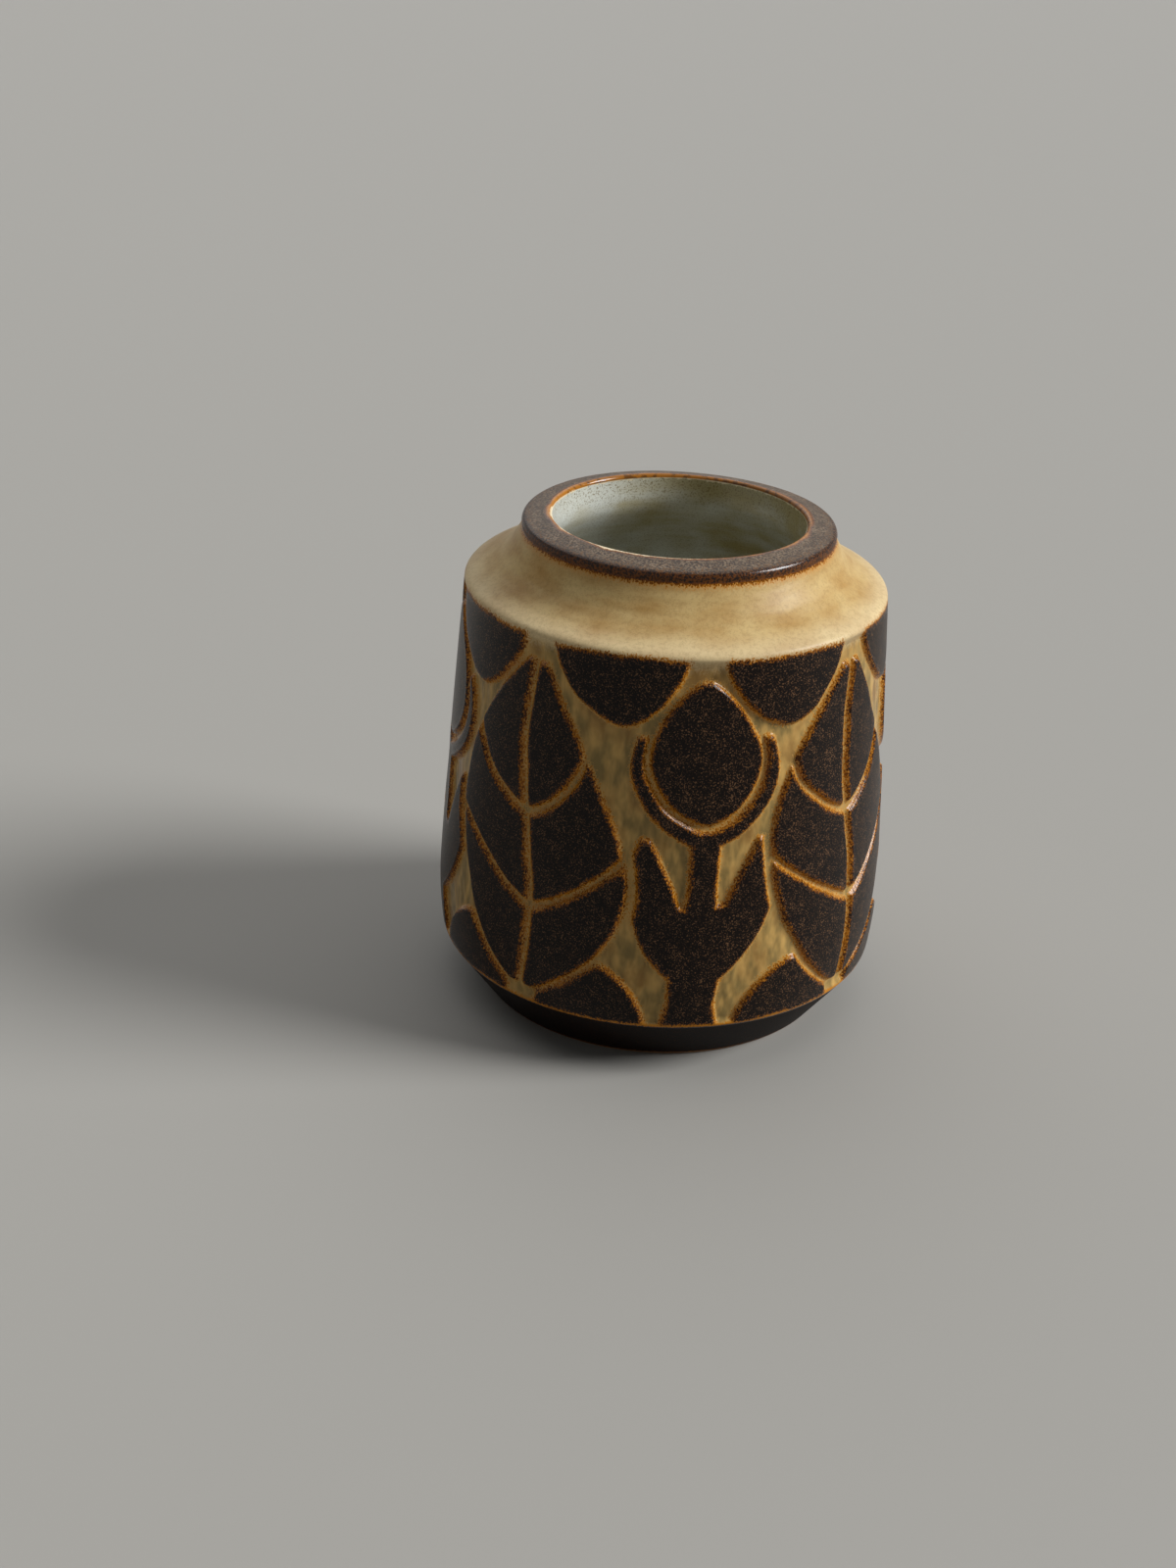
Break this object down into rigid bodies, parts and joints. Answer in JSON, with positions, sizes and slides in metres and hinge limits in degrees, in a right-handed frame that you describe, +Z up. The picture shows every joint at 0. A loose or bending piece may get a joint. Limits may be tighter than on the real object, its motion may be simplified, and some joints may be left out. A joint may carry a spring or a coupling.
{
  "type": "pottery vase",
  "caption": "Squat turned stoneware vase with a thick flat lip, tan shoulder, carved leaf and pod frieze in dark glaze, pale lined inside and an undercut dark foot.",
  "frame": {"origin": "middle of the base, on the surface that the vase stands on", "axes": "+Z up along the axis that the vase was turned on; +X and +Y are free, as the frieze repeats every quarter turn"},
  "size_m": [0.1362, 0.1362, 0.15],
  "materials": {
    "stoneware": "bare fired clay, matt",
    "liner": "pale grey-green glaze, glossy",
    "rim": "grey-brown glaze, satin",
    "shoulder": "tan glaze, satin",
    "valley": "ochre glaze, semi-gloss",
    "dark_glaze": "speckled near-black brown glaze, satin"
  },
  "bodies": {
    "root": {"clay_body": "stoneware", "liner_glaze": "liner", "rim_glaze": "rim", "shoulder_glaze": "shoulder", "valley_glaze": "valley", "foot_glaze": "dark_glaze", "stem_1": "dark_glaze", "pod_1": "dark_glaze", "leaf_left_lower_1": "dark_glaze", "leaf_left_middle_1": "dark_glaze", "leaf_left_upper_1": "dark_glaze", "eave_left_1": "dark_glaze", "mound_left_1": "dark_glaze", "leaf_right_lower_1": "dark_glaze", "leaf_right_middle_1": "dark_glaze", "leaf_right_upper_1": "dark_glaze", "eave_right_1": "dark_glaze", "mound_right_1": "dark_glaze", "stem_2": "dark_glaze", "pod_2": "dark_glaze", "leaf_left_lower_2": "dark_glaze", "leaf_left_middle_2": "dark_glaze", "leaf_left_upper_2": "dark_glaze", "eave_left_2": "dark_glaze", "mound_left_2": "dark_glaze", "leaf_right_lower_2": "dark_glaze", "leaf_right_middle_2": "dark_glaze", "leaf_right_upper_2": "dark_glaze", "eave_right_2": "dark_glaze", "mound_right_2": "dark_glaze", "stem_3": "dark_glaze", "pod_3": "dark_glaze", "leaf_left_lower_3": "dark_glaze", "leaf_left_middle_3": "dark_glaze", "leaf_left_upper_3": "dark_glaze", "eave_left_3": "dark_glaze", "mound_left_3": "dark_glaze", "leaf_right_lower_3": "dark_glaze", "leaf_right_middle_3": "dark_glaze", "leaf_right_upper_3": "dark_glaze", "eave_right_3": "dark_glaze", "mound_right_3": "dark_glaze", "stem_4": "dark_glaze", "pod_4": "dark_glaze", "leaf_left_lower_4": "dark_glaze", "leaf_left_middle_4": "dark_glaze", "leaf_left_upper_4": "dark_glaze", "eave_left_4": "dark_glaze", "mound_left_4": "dark_glaze", "leaf_right_lower_4": "dark_glaze", "leaf_right_middle_4": "dark_glaze", "leaf_right_upper_4": "dark_glaze", "eave_right_4": "dark_glaze", "mound_right_4": "dark_glaze"}
  },
  "joints": []
}
